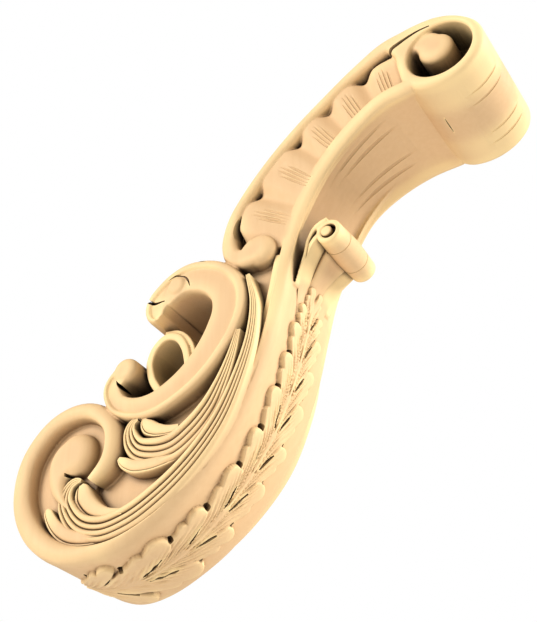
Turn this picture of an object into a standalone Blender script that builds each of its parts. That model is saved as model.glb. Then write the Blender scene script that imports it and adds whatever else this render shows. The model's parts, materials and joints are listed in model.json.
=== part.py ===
"""Carved wooden corbel bracket, made as one solid.

Metres, +Z up. The origin is the middle of the flat that meets the wall, at
the back of the lower volute. The wall is the plane X = 0, the bracket stands
out along +X and is the same on both sides of the plane Y = 0.

The carving is drawn on the side plane, x outwards and z upwards, in
millimetres at DRAWN_HEIGHT, and is scaled as shares of HEIGHT.
"""

import math

import bmesh
import bpy
import numpy as np

# Driving sizes, metres
HEIGHT = 0.279          # wall flat's middle up to the flat on the top roll
WIDTH = 0.095           # across both side faces
GROUND_DEPTH = 0.016    # side face down to the flat ground of the carving
SCROLL_DEPTH = 0.0015   # side face down to the open scroll
RIM_DEPTH = 0.003       # side face down to the back rim
LOOP_DEPTH = 0.010      # side face down to the loop in the open scroll
VOLUTE_DEPTH = 0.009    # side face down to the lower volute's floor
LEAF_DEPTH = 0.0035     # side face down to the side leaves
PANEL_DEPTH = 0.0055    # side face down to the gathered panel at its outer edge
PANEL_SLOPE = 0.006     # how much deeper it lies along the ribbon
FOLD_HEIGHT = 0.0025    # ridge to valley of the panel's folds
FOLDS = 5               # folds in the panel
FLUTE_DEPTH = 0.0018    # flutes of the side leaves
ROUNDING = 0.004        # rounding along the edges of rims and scrolls
FROND_HALF = 0.032      # midrib to the lobes' tips at the foot of the leaf on the front
FROND_HEIGHT = 0.0045   # how far those lobes stand off the front
LOBE_GROUPS = 10        # groups of three lobes on each side of that leaf
HOLLOW_RADIUS = 0.0255  # hollow in each end of the top roll
HOLLOW_DEPTH = 0.032
CURL_DEPTH = 0.0025     # side face down to the curl left in the hollow
ROLL_LENGTH = 0.056     # small roll on the front, end to end
ROLL_RADIUS = 0.0108    # small roll at its middle

DRAWN_HEIGHT = 279.0
KEPT_FACES = 0.54       # share of the joined faces that the form needs
MM = HEIGHT / DRAWN_HEIGHT
HALF = WIDTH / 2
CORE_HALF = HALF - GROUND_DEPTH

# Ribbon: its inner edge from the top roll down the front, then round the lower
# volute, with the width of its rounded band and how far that lies below the sides
FRONT = [(330, 229, 12, 0), (307, 228, 12, 0.5), (278.5, 218, 13, 4.5), (251, 198, 13, 8.5),
         (228, 164, 13, 9.5), (216, 128, 10, 10.5), (210, 93.5, 7.5, 9.5), (196, 42.5, 6.5, 8.5),
         (178, 5.5, 7, 8), (154, -25.5, 6.5, 7), (119, -53, 6.5, 6), (84, -63, 10, 4),
         (54, -58, 14.5, 1.5)]
VOLUTE_RIM = [(28.5, -39, 17, 0), (15, -11, 17, 0), (17.5, 15, 16.5, 0), (34.5, 33.5, 15, 0),
              (59.5, 35, 14, 0), (77, 19.5, 13.5, 0), (77, -1, 12.5, 0), (66, -12, 9, 0)]
# Sections of the ribbon: share of the band's width, mm below the side face
DISHED = [(0, 16), (0, 4), (.12, 1.2), (.4, .3), (.75, .9), (1, 4.5), (.82, 9), (.6, 15), (.5, 26)]
BELLIED = [(0, 16), (0, 1.5), (.1, .5), (.33, 2.2), (.62, 5.1), (.83, 8.3), (.95, 12), (1, 18), (1, 30)]
RIMMED = [(0, 16), (0, 7), (.1, 2.4), (.38, .2), (.68, .4), (.92, 3), (1, 8), (1, 18), (1, 30)]
DISH_ENDS = (150.0, 85.0)     # heights between which the dished front fills out
RIM_STARTS = (110.0, 45.0)    # distances out between which the band turns to a rim

VOLUTE_EYE = (53.5, 5.5, 19.5)
VOLUTE_TAIL = [(41, 9, 10), (37, -5, 9), (42, -19, 7), (52, -30, 5)]

SCROLL = [(90, 65, 9), (80.5, 55, 8), (85.5, 40, 8), (99, 31.5, 8.5), (116.5, 29, 9.7),
          (134.5, 34.5, 10.8), (150.5, 44, 12), (163.5, 57, 13.2), (173.5, 72, 14.5),
          (179, 88, 14.8), (177.5, 103, 14.5), (169.5, 115.5, 14), (155.5, 125, 13.7),
          (139.5, 128, 13.5), (125, 122, 13), (116, 113, 11.5), (116.5, 104.5, 8.5),
          (119, 100, 4)]
SCROLL_EYE = (91.5, 66, 11)
SCROLL_CURL = (136, 123, 7.5)
CURL_STANDS = 0.0015    # the curl at the scroll's end stands off its face
LOOP = [(114, 42, 3), (105, 58, 3), (102.5, 74, 3), (108, 86, 3), (118, 91, 3),
        (128, 87, 3), (135, 77, 3), (138.5, 64, 3), (140, 48, 3)]

BACK_RIM = [(199, 131, 12.5), (187, 128.5, 8.3), (180, 133.5, 7), (176.5, 144, 6.5),
            (178, 158, 6.2), (182, 170, 5.8), (188.5, 181, 5.3), (208, 204.5, 5.3),
            (231.5, 226.5, 5.3), (263, 249, 5.3), (295.5, 266, 5.3), (334, 275, 5.8)]
RIM_EYE = (200.7, 131.3, 13.2)
PANEL_OUTER = [(190, 152), (193, 171), (202, 192), (219, 213.5), (240, 231.5), (266, 250),
               (292, 260.5), (325, 265)]
PANEL_INNER = [(222, 128), (236, 154.5), (257, 188), (282, 211), (307, 225), (326, 229)]

LOWER_LEAF = [(194, 110, 1.5), (199, 85, 3), (197, 60, 4), (187.5, 28, 5.5), (172.5, -2, 7),
              (152.5, -25, 8), (126, -43, 9), (100, -53.5, 9.5), (77, -55.5, 9.5),
              (59, -48, 9), (49.5, -35, 7.5), (47.5, -22, 6), (51, -12, 3.5)]
LOWER_LEAF_LOBE = [(90, -60, 3), (64, -60, 5.5), (46, -52.5, 6), (37, -41, 5), (35, -31, 3)]
LOWER_LEAF_THUMB = [(100, -46, 3), (84, -41.5, 6), (71, -34, 7), (65, -26, 6.5), (63, -21, 4)]
UPPER_LEAF = [(187, 66, 2), (181, 46, 4), (173, 28, 6), (163, 12, 8.5), (150, 0, 10),
              (134, -8, 10.5), (117, -8, 10), (104.5, 0, 8), (100.5, 11, 6.5), (104, 20, 3)]
UPPER_LEAF_LOBE = [(134, -15, 3), (115, -17.5, 4.5), (102, -14.5, 4.5), (94, -9, 3)]
UPPER_LEAF_THUMB = [(140, 4, 3), (127, 5.5, 4.5), (118, 11, 5), (115, 17, 3.5)]
# Ridges and flutes across a side leaf: share of its half width, share of a flute's depth
FLUTED = [(-1, 1.6), (-.8, 0), (-.45, 1), (-.1, 0), (.25, 1), (.65, 0), (1, 1.6)]

ROLL = [(322, 240), (324.5, 227), (336, 214.5), (354.7, 211), (374, 217.5), (385.5, 231),
        (387.7, 245), (384, 257), (377, 266), (366, 274.5), (353.5, 279.5), (339, 280.8),
        (324, 279.6), (313, 277), (311, 270.5), (317, 263.5), (320.5, 255), (321, 247)]
HOLLOW_AT = (354.7, 244)
CURL = [(322, 263), (331, 267), (337, 272), (346, 274.5), (355, 271), (361, 265), (364, 256),
        (363, 247), (358, 240), (350.5, 237.5), (342.5, 240.5), (338, 247.5), (338.5, 256),
        (334, 256), (324, 250)]
SMALL_ROLL = (250, 136.5)
STEM_FOOT = (219, 98)
STEM_HEAD = (243.5, 131)
TONGUE = (.19, .5)      # half width of the stem's raised middle, foot and head, as shares
FROND_TOP = 111.0       # height of the front leaf's first lobes
FROND_NECK = 0.62       # its half width above the foot, as a share of that at the foot
LOBE_SPACE = 16.0       # first group of lobes down to the next
LOBE_GROWTH = 0.19      # how much wider each next group is spaced
LAST_GROUP = 0.6        # the last group's length, as a share of its spacing
LOBE_SWEEP = 1.7        # how a lobe's line curves in to run along the midrib
# Lobes of a group: share of its spacing down, half width as a share of that, share of height
LOBES = [(0.0, .19, 1.0), (.45, .15, .85), (.75, .09, .65)]


def smooth(points, count):
    """Evenly spaced samples of a smooth curve through a few points."""
    pts = np.array(points, float)
    knots = np.concatenate(([0.0], np.cumsum(np.linalg.norm(np.diff(pts[:, :2], axis=0), axis=1))))
    slopes = np.gradient(pts, knots, axis=0)
    where = np.linspace(0.0, knots[-1], count * 6)
    low = np.clip(np.searchsorted(knots, where, side="right") - 1, 0, len(knots) - 2)
    span = (knots[low + 1] - knots[low])[:, None]
    t = (where - knots[low])[:, None] / span
    curve = (pts[low] * (2 * t**3 - 3 * t**2 + 1) + pts[low + 1] * (3 * t**2 - 2 * t**3)
             + slopes[low] * span * (t**3 - 2 * t**2 + t) + slopes[low + 1] * span * (t**3 - t**2))
    steps = np.linalg.norm(np.diff(curve[:, :2], axis=0), axis=1)
    run = np.concatenate(([0.0], np.cumsum(steps)))
    even = np.linspace(0.0, run[-1], count)
    return np.column_stack([np.interp(even, run, column) for column in curve.T])


def lefts(path):
    """Unit normals in the side plane, to the left of the way a path runs."""
    along = np.gradient(path[:, :2], axis=0)
    along /= np.linalg.norm(along, axis=1)[:, None]
    return np.column_stack([-along[:, 1], along[:, 0]])


def circle(x, z, radius, count):
    """Points round a circle on the side plane."""
    turns = [2 * math.pi * k / count for k in range(count)]
    return [(x + radius * math.cos(a), z + radius * math.sin(a)) for a in turns]


def solid(sections):
    """A closed mesh object through a row of like closed sections, in metres."""
    mesh = bmesh.new()
    rows = [[mesh.verts.new(point) for point in section] for section in sections]
    for near, far in zip(rows, rows[1:]):
        for k in range(len(near)):
            after = (k + 1) % len(near)
            mesh.faces.new((near[k], near[after], far[after], far[k]))
    mesh.faces.new(rows[0])
    mesh.faces.new(rows[-1])
    bmesh.ops.triangulate(mesh, faces=mesh.faces)
    bmesh.ops.recalc_face_normals(mesh, faces=mesh.faces)
    if mesh.calc_volume(signed=True) < 0:
        bmesh.ops.reverse_faces(mesh, faces=mesh.faces)
    data = bpy.data.meshes.new("carving")
    mesh.to_mesh(data)
    mesh.free()
    made = bpy.data.objects.new("carving", data)
    bpy.context.scene.collection.objects.link(made)
    return made


def on_both_sides(sections):
    """A solid near the -Y side and its mirror image on the other side."""
    mirrored = [[(x, -y, z) for x, y, z in section] for section in sections]
    return [solid(sections), solid(mirrored)]


def place(point, left, across, y):
    """Metres for a drawn point moved across the path, at a given Y."""
    return ((point[0] + left[0] * across) * MM, y, (point[1] + left[1] * across) * MM)


def rounded(half_width, top, rounding, steps):
    """Upper outline of a rounded bar: pairs of mm across and metres of Y."""
    reach = min(rounding / MM, half_width)
    angles = [math.pi / 2 * k / steps for k in range(steps + 1)]
    side = [(half_width - reach + reach * math.cos(a), top - rounding * (1 - math.sin(a)))
            for a in angles]
    return [(-across, y) for across, y in side] + side[::-1]


def full_bar(points, count, depth, rounding=ROUNDING, steps=2):
    """Bar through the whole width that follows a path, rounded on both sides."""
    path = smooth(points, count)
    sections = []
    for row, left in zip(path, lefts(path)):
        upper = rounded(row[2], HALF - depth, rounding, steps)
        ring = [(across, -y) for across, y in upper] + [(across, y) for across, y in upper[::-1]]
        sections.append([place(row, left, across, y) for across, y in ring])
    return [solid(sections)]


def side_bar(points, count, depth, rounding=ROUNDING, steps=2):
    """Rounded bar on each side that follows a path and is rooted in the core."""
    path = smooth(points, count)
    sections = []
    for row, left in zip(path, lefts(path)):
        upper = rounded(row[2], HALF - depth, rounding, steps)
        ring = [(-row[2], CORE_HALF - 0.002)] + upper + [(row[2], CORE_HALF - 0.002)]
        sections.append([place(row, left, across, -y) for across, y in ring])
    return on_both_sides(sections)


def plate(outline, half, rounding, steps=1):
    """Full-width plate of a side outline with rounded side edges."""
    ring = np.array(outline, float)
    closed = np.vstack([ring[-1:], ring, ring[:1]])
    inward = lefts(closed)[1:-1]
    area = np.sum(ring[:, 0] * np.roll(ring[:, 1], -1) - np.roll(ring[:, 0], -1) * ring[:, 1])
    angles = [math.pi / 2 * (1 - k / steps) for k in range(steps + 1)]
    rows = [(half - rounding * (1 - math.sin(a)), rounding * (1 - math.cos(a)) / MM) for a in angles]
    levels = [(-y, inset) for y, inset in rows] + [(y, inset) for y, inset in rows[::-1]]
    sections = []
    for y, inset in levels:
        flat = ring + inward * math.copysign(inset, area)
        sections.append([(x * MM, y, z * MM) for x, z in flat])
    return [solid(sections)]


def eye(x, z, radius, depth, rounding, count=18, steps=3):
    """Round domed boss through the whole width."""
    return plate(circle(x, z, radius, count), HALF - depth, rounding, steps)


def blend(value, ends):
    """Share from 0 to 1 of the way between two ends, eased."""
    share = min(max((value - ends[0]) / (ends[1] - ends[0]), 0.0), 1.0)
    return share * share * (3 - 2 * share)


def ribbon_section(row):
    """Section of the ribbon at one place of its path: mm across, metres of Y."""
    fill = blend(row[1], DISH_ENDS)
    rim = blend(row[0], RIM_STARTS) if row[1] < DISH_ENDS[1] else 0.0
    near = []
    for dished, bellied, rimmed in zip(DISHED, BELLIED, RIMMED):
        shape = np.array(dished) * (1 - fill) + np.array(bellied) * fill
        shape = shape * (1 - rim) + np.array(rimmed) * rim
        sunk = row[3] * (1 - shape[1] / BELLIED[-1][1])
        near.append((shape[0] * row[2], HALF - (shape[1] + sunk) * MM))
    return near


def ribbon():
    """The ribbon with its banded edges, from the top roll round the volute."""
    path = smooth(FRONT + VOLUTE_RIM, 44)
    sections = []
    for row, left in zip(path, lefts(path)):
        near = ribbon_section(row)
        ring = [(across, -y) for across, y in near] + [(across, y) for across, y in near[::-1]]
        sections.append([place(row, left, across, y) for across, y in ring])
    return [solid(sections)]


def drawn(path, across=0.0):
    """Plain points of a path, moved across it by a share of its width."""
    return [tuple(p) for p in path[:, :2] + lefts(path) * path[:, 2:3] * across]


def core():
    """Ground of the side carving: a plate under every band and leaf."""
    outline = drawn(smooth(FRONT, 20), 0.35)
    outline += drawn(smooth(VOLUTE_RIM, 8), 0.5)[:5]
    outline += drawn(smooth(SCROLL, 24))[3:17]
    outline += drawn(smooth(BACK_RIM, 16))[2:]
    return plate(outline + [(350, 262), (352, 240)], CORE_HALF, 0.0003)


def volute():
    """Floor, eye and tail of the lower volute."""
    floor = drawn(smooth(FRONT[-1:] + VOLUTE_RIM, 12), 0.5) + [(66, -40)]
    made = plate(floor, HALF - VOLUTE_DEPTH, 0.0003)
    made += eye(*VOLUTE_EYE, 0.0, 0.0085, 22, 4)
    made += side_bar(VOLUTE_TAIL, 8, 0.004, 0.005)
    return made


def open_scroll():
    """The C-shaped scroll that goes through the width, and the loop in it."""
    made = full_bar(SCROLL, 32, SCROLL_DEPTH, ROUNDING)
    made += eye(*SCROLL_EYE, SCROLL_DEPTH * 0.5, 0.004, 16, 2)
    made += eye(*SCROLL_CURL, SCROLL_DEPTH - CURL_STANDS, 0.004, 12, 2)
    made += full_bar(LOOP, 15, LOOP_DEPTH, 0.0015, 1)
    return made


def back_rim():
    """The rim along the back edge, with its curled foot."""
    made = side_bar(BACK_RIM, 26, RIM_DEPTH, ROUNDING)
    made += eye(*RIM_EYE, RIM_DEPTH, ROUNDING, 18, 2)
    return made


def panel():
    """Gathered panel between the back rim and the ribbon, in soft folds."""
    count = 6 * FOLDS
    outer = smooth(PANEL_OUTER, count + 1)
    inner = smooth(PANEL_INNER, count + 1)
    shares = [0.0, 0.35, 0.7, 1.0]
    sections = []
    for k, (far, near) in enumerate(zip(outer, inner)):
        wave = math.cos(2 * math.pi * FOLDS * k / count)
        far = far + (far - near) / np.linalg.norm(far - near) * wave
        ring = []
        for share in shares:
            x, z = near + (far - near) * share
            lift = HALF - PANEL_DEPTH - PANEL_SLOPE * (1 - share)
            lift -= FOLD_HEIGHT * (0.5 - 0.5 * wave) * share
            ring.append((x * MM, -lift, z * MM))
        for share in (1.0, 0.0):
            x, z = near + (far - near) * share
            ring.append((x * MM, -CORE_HALF + 0.002, z * MM))
        sections.append(ring)
    return on_both_sides(sections)


def leaf_blade(points, count, depth):
    """Fluted blade of a side leaf on each side."""
    path = smooth(points, count)
    sections = []
    for row, left in zip(path, lefts(path)):
        top = [(share * row[2], HALF - depth - drop * FLUTE_DEPTH) for share, drop in FLUTED]
        ring = [(-row[2], CORE_HALF - 0.002)] + top + [(row[2], CORE_HALF - 0.002)]
        sections.append([place(row, left, across, -y) for across, y in ring])
    return on_both_sides(sections)


def side_leaves():
    """The two long leaves between the volute, the scroll and the ribbon."""
    made = leaf_blade(LOWER_LEAF, 26, LEAF_DEPTH)
    made += side_bar(LOWER_LEAF_LOBE, 8, LEAF_DEPTH + 0.001, 0.003, 1)
    made += side_bar(LOWER_LEAF_THUMB, 8, LEAF_DEPTH + 0.001, 0.003, 1)
    made += leaf_blade(UPPER_LEAF, 20, LEAF_DEPTH)
    made += side_bar(UPPER_LEAF_LOBE, 7, LEAF_DEPTH + 0.001, 0.003, 1)
    made += side_bar(UPPER_LEAF_THUMB, 6, LEAF_DEPTH + 0.001, 0.003, 1)
    return made


def top_roll():
    """The roll that ends the ribbon at the top, still without its hollows."""
    outline = [tuple(p) for p in smooth(ROLL + ROLL[:1], 37)[:-1]]
    return plate(outline, HALF, 0.003, 2)


def hollows():
    """Cutters for the hollow in each end of the top roll."""
    reach = 0.01
    ring = circle(*HOLLOW_AT, HOLLOW_RADIUS / MM, 28)
    levels = (HALF - HOLLOW_DEPTH, HALF + reach)
    return on_both_sides([[(x * MM, -y, z * MM) for x, z in ring] for y in levels])


def curls():
    """Rolled end of the ribbon left standing in each hollow."""
    ring = [tuple(p) for p in smooth(CURL + CURL[:1], 29)[:-1]]
    foot = HALF - HOLLOW_DEPTH - 0.002
    levels = (foot, HALF - CURL_DEPTH)
    return on_both_sides([[(x * MM, -y, z * MM) for x, z in ring] for y in levels])


def small_roll():
    """Small barrel-shaped roll on the front, with the stem that carries it."""
    x, z = SMALL_ROLL
    shares = [-1, -.94, -.5, 0, .5, .94, 1]
    radii = [.72, .84, .95, 1, .95, .84, .72]
    barrel = []
    for share, size in zip(shares, radii):
        ring = circle(x, z, size * ROLL_RADIUS / MM, 16)
        barrel.append([(a * MM, share * ROLL_LENGTH / 2, b * MM) for a, b in ring])
    return [solid(barrel)] + stem()


def stem():
    """Stem that fans out from the front leaf's tip up into the small roll."""
    foot, head = np.array(STEM_FOOT), np.array(STEM_HEAD)
    outer, inner = (ROLL_LENGTH * 0.3, ROLL_LENGTH * 0.48), np.array(TONGUE) * ROLL_LENGTH / 2
    sections = []
    for share in (0.0, 0.35, 0.7, 1.0):
        x, z = foot + (head - foot) * share
        wide = outer[0] + (outer[1] - outer[0]) * share
        tongue = inner[0] + (inner[1] - inner[0]) * share
        near = [(x - 16, wide), (x - 1.5, wide), (x, wide - 0.0015), (x, tongue + 0.0005),
                (x + 1.5, tongue - 0.001)]
        ring = [(a, -y) for a, y in near] + [(a, y) for a, y in near[::-1]]
        sections.append([(a * MM, y, z * MM) for a, y in ring])
    return [solid(sections)]


def front_line():
    """Points down the middle of the front, their outward normals and the run to each."""
    path = smooth(FRONT + VOLUTE_RIM[:3], 200)
    line = np.array(drawn(path, 1.0))
    keep = line[:, 1] < FROND_TOP
    line, out = line[keep], lefts(path)[keep]
    run = np.concatenate(([0.0], np.cumsum(np.linalg.norm(np.diff(line, axis=0), axis=1))))
    return line, out, run


def on_front(front, run, y, lift):
    """Point of the front at a run down the leaf, at Y, lifted off the face."""
    line, out, runs = front
    x, z, nx, nz = (np.interp(run, runs, values) for values in (*line.T, *out.T))
    return ((x + nx * lift) * MM, y * MM, (z + nz * lift) * MM)


def lobe(front, tip, root, half_width, lift, side):
    """One lobe of the front leaf: from the midrib it curves out to a round tip."""
    sections = []
    for share, width in ((0.0, .55), (.07, .9), (.22, 1.0), (.55, .75), (1.0, .3)):
        run = tip[0] + (root[0] - tip[0]) * share
        y = root[1] + (tip[1] - root[1]) * (1 - share) ** LOBE_SWEEP
        slope = LOBE_SWEEP * (tip[1] - root[1]) * (1 - share) ** (LOBE_SWEEP - 1)
        along = np.array([root[0] - tip[0], -slope])
        across = np.array([-along[1], along[0]]) / np.linalg.norm(along) * half_width * width
        rise = lift * (1 - 0.55 * share)
        ring = [(1, -4), (1, rise * .55), (0, rise), (-1, rise * .55), (-1, -4)]
        sections.append([on_front(front, run + across[0] * t, side * (y + across[1] * t), up)
                         for t, up in ring])
    return solid(sections)


def frond():
    """Leaf up the front: groups of three lobes on each side of a midrib."""
    front = front_line()
    full, lift = FROND_HALF / MM, FROND_HEIGHT / MM
    made = []
    run = 0.0
    for group in range(LOBE_GROUPS):
        space = LOBE_SPACE * (1 + LOBE_GROWTH * group)
        if group == LOBE_GROUPS - 1:
            space *= LAST_GROUP
        reach = full * min(0.28 + 0.22 * group, FROND_NECK)
        reach += full * (1 - FROND_NECK) * blend(group, (LOBE_GROUPS * 0.5, LOBE_GROUPS - 1))
        for start, width, height in LOBES:
            tip = (run + start * space, reach * (1 - width))
            root = (run + (start + 1.5) * space, 1.5)
            for side in (-1, 1):
                made.append(lobe(front, tip, root, width * space, height * lift, side))
        run += space
    return made


def box(low, high):
    """Plain block between two corners."""
    xs, ys, zs = zip(low, high)
    corners = [(xs[0], zs[0]), (xs[1], zs[0]), (xs[1], zs[1]), (xs[0], zs[1])]
    return solid([[(x, y, z) for x, z in corners] for y in ys])


def flats():
    """Cutters for the flat against the wall and the flat on top."""
    big = HEIGHT * 2
    wall = box((-big, -WIDTH, -big), (0.0, WIDTH, big))
    top = box((HOLLOW_AT[0] * MM - HEIGHT / 5, -WIDTH, HEIGHT), (big, WIDTH, big))
    return [wall, top]


def combine(body, made, operation):
    """Boolean of each piece with the body; the pieces stay as hidden cutters."""
    for piece in made:
        piece.hide_render = True
        piece.display_type = "WIRE"
        step = body.modifiers.new(operation.title(), "BOOLEAN")
        step.operation = operation
        step.solver = "MANIFOLD"
        step.object = piece


def wood():
    """Pale, smoothly finished wood."""
    material = bpy.data.materials.new("pale_wood")
    material.use_nodes = True
    shader = material.node_tree.nodes["Principled BSDF"]
    shader.inputs["Base Color"].default_value = (0.80, 0.60, 0.38, 1.0)
    shader.inputs["Roughness"].default_value = 0.5
    shader.inputs["Metallic"].default_value = 0.0
    return material


def build():
    """Make the bracket."""
    for old in list(bpy.data.objects):
        bpy.data.objects.remove(old)
    body = ribbon()[0]
    body.name = "corbel_bracket"
    body.data.name = "corbel_bracket"
    forms = (core() + volute() + open_scroll() + back_rim() + panel() + side_leaves()
             + top_roll() + small_roll() + frond())
    combine(body, forms, "UNION")
    thin = body.modifiers.new("Thin", "DECIMATE")
    thin.ratio = KEPT_FACES
    combine(body, hollows() + flats(), "DIFFERENCE")
    combine(body, curls(), "UNION")
    body.data.materials.append(wood())
    body.data.shade_smooth()
    body.data.set_sharp_from_angle(angle=math.radians(40))


build()
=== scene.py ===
"""Looks of a carved wooden corbel bracket, laid out as an add-on and run as a script.

The carving is drawn on the bracket's side plane, x outwards from the wall and z
upwards, in millimetres where the bracket is DRAWN_HEIGHT high, and y is measured
from the middle plane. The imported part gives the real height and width.
"""

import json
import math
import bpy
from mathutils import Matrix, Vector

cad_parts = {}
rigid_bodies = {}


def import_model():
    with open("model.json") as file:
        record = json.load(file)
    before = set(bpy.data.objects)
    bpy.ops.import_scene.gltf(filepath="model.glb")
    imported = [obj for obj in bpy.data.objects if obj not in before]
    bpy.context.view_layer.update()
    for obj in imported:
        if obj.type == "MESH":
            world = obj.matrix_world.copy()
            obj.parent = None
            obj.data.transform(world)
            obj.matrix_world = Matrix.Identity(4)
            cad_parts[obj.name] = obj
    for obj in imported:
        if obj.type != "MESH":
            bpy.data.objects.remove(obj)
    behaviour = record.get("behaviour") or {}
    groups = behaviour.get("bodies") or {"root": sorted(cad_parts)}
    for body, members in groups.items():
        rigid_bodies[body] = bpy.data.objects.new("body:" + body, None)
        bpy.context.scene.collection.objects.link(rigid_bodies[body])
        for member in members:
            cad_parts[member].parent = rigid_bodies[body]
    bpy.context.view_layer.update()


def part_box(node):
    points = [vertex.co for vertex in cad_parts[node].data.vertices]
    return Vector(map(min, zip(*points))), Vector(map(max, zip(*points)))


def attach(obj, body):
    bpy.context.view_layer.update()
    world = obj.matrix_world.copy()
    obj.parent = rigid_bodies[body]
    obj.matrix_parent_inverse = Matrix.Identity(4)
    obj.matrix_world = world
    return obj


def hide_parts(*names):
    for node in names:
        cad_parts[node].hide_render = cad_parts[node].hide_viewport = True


bl_info = {
    "name": "Carved corbel bracket",
    "version": (1, 0, 0),
    "blender": (4, 5, 0),
    "location": "3D View > Sidebar > Corbel",
    "description": "Carves the bracket's fine relief, finishes its wood and sets the stage",
    "category": "Object",
}

import bpy
import numpy as np
from bpy.props import FloatProperty, FloatVectorProperty, IntProperty, PointerProperty
from mathutils import Matrix, Vector

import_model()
NODE = "corbel_bracket"
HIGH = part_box(NODE)[1]

DRAWN_HEIGHT = 279.0
MM = HIGH.z / DRAWN_HEIGHT      # metres for one drawn millimetre
SANDED = 0.15                   # what sanding takes off each side face
HALF = HIGH.y / MM - SANDED     # middle plane to a side face
GROUND = HALF - 16.0            # middle plane to the ground of the side carving
ROOT = GROUND - 2.0             # how deep side forms are rooted

# Ribbon: its inner edge, the width of its band and how far that lies below the sides
FRONT = [(330, 229, 12, 0), (307, 228, 12, 0.5), (278.5, 218, 13, 4.5), (251, 198, 13, 8.5),
         (228, 164, 13, 9.5), (216, 128, 10, 10.5), (210, 93.5, 7.5, 9.5), (196, 42.5, 6.5, 8.5),
         (178, 5.5, 7, 8), (154, -25.5, 6.5, 7), (119, -53, 6.5, 6), (84, -63, 10, 4),
         (54, -58, 14.5, 1.5)]
VOLUTE_RIM = [(28.5, -39, 17, 0), (15, -11, 17, 0), (17.5, 15, 16.5, 0), (34.5, 33.5, 15, 0),
              (59.5, 35, 14, 0), (77, 19.5, 13.5, 0), (77, -1, 12.5, 0), (66, -13, 8, 1)]
# Sections of the ribbon: share of the band's width, depth below the side face
DISHED = [(0, 16), (0, 4), (.12, 1.2), (.4, .3), (.75, .9), (1, 4.5), (.82, 9), (.6, 15), (.5, 26)]
BELLIED = [(0, 16), (0, 1.5), (.1, .5), (.33, 2.2), (.62, 5.1), (.83, 8.3), (.95, 12), (1, 18), (1, 30)]
RIMMED = [(0, 16), (0, 7), (.1, 2.4), (.38, .2), (.68, .4), (.92, 3), (1, 8), (1, 18), (1, 30)]
DISH_ENDS = (150.0, 85.0)
RIM_STARTS = (110.0, 45.0)

# Lower volute: domed end of the comma, its curving neck and the floor under them.
# A domed end is x, z, radius, depth of its top below the side face, and rise of the dome.
VOLUTE_EYE = (51, 9, 18.0, 0, 11.5)
VOLUTE_NECK = [(53, 9, 15.5, 1), (46.5, 7, 16.3, .4), (41.5, 2, 14.5, .8), (38.5, -5, 10.5, 1.6),
               (39, -14, 7.5, 2.6), (43.5, -23, 4.5, 3.6), (49, -30, 3, 4.5)]
VOLUTE_NECK_ROUNDING = 8.0
VOLUTE_FLOOR = 11.5

# Open scroll: middle line, half width and depth; then its end boss, upper curl and loop
SCROLL = [(90, 65, 9), (80.5, 55, 8), (85.5, 40, 8), (99, 31.5, 8.5), (116.5, 29, 9.7),
          (134.5, 34.5, 10.8), (150.5, 44, 12), (163.5, 57, 13.2), (173.5, 72, 14.5),
          (179, 88, 14.8), (177.5, 103, 14.5), (169.5, 115.5, 14), (155.5, 125, 13.7),
          (139.5, 128, 13.5), (125, 122, 13), (116, 113, 11.5), (116.5, 104.5, 8.5),
          (119, 100, 4)]
SCROLL_DEPTH = 1.5
SCROLL_PROFILE = [(-1, 7), (-1, 4.8), (-.93, 2.4), (-.8, .6), (-.66, 0), (-.55, .3), (-.45, 1.5),
                  (-.38, 2.2), (-.25, 1.8), (.2, .9), (.55, .4), (.8, .8), (.94, 2.2), (1, 4.5), (1, 7)]
SCROLL_EYE = (90.7, 65.5, 10.4, .6, 6.0)
SCROLL_CURL = (133.5, 123.5, 8.0, 0, 4.0)
LOOP = [(117, 42, 3), (108, 58, 3), (105.5, 73, 3), (110.5, 84.5, 3), (119.5, 89.5, 3),
        (128.5, 86, 3), (135, 76.5, 3), (138.5, 64, 3), (140, 48, 3)]
LOOP_DEPTH = 12.0
LOOP_ROUNDING = 1.5
LOOP_LIP = [(116.6, 94.7, 1.6), (127, 92.3, 1.6), (138.8, 80.4, 1.6), (143.3, 66.7, 1.6), (144, 54, 1.6)]
LOOP_LIP_DEPTH = 14.0
LOOP_LIP_ROUNDING = 1.2

BACK_RIM = [(199, 131, 12.5, 0), (187, 128.5, 8.3, 0), (180, 133.5, 7, 0), (176.5, 144, 6.5, 0),
            (178, 158, 6.2, 0), (182, 170, 5.8, 0), (188.5, 181, 5.3, 0), (208, 204.5, 5.3, 0),
            (231.5, 226.5, 5.3, 0), (263, 249, 5.3, -.3), (290, 264.5, 6, -1), (312, 272.5, 6.8, -2.4),
            (334, 275, 5.8, -3)]
RIM_DEPTH = 3.0
RIM_ROUNDING = 5.0
RIM_EYE = (200.7, 131.3, 13.2, 3.0, 7.0)

PANEL_OUTER = [(182.5, 147), (184.5, 162), (189.5, 178), (200, 194), (219, 213.5), (240, 231.5), (266, 250),
               (292, 260.5), (325, 265)]
PANEL_INNER = [(222, 128), (236, 154.5), (257, 188), (282, 211), (307, 225), (326, 229)]
# Panel: depth at its far edge, and how much deeper it lies at the ribbon
PANEL_DEPTH = 4.6
PANEL_SLOPE = 6.5
# Shares of the way up the panel where its folds dip, and where its grooves are grouped
FOLD_VALLEYS = (.0, .22, .47, .64, .82)
FOLD_SHARPNESS = .036
GROOVE_PLACES = (.135, .345, .555, .73, .9)
GROOVES_IN_GROUP = 4

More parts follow.
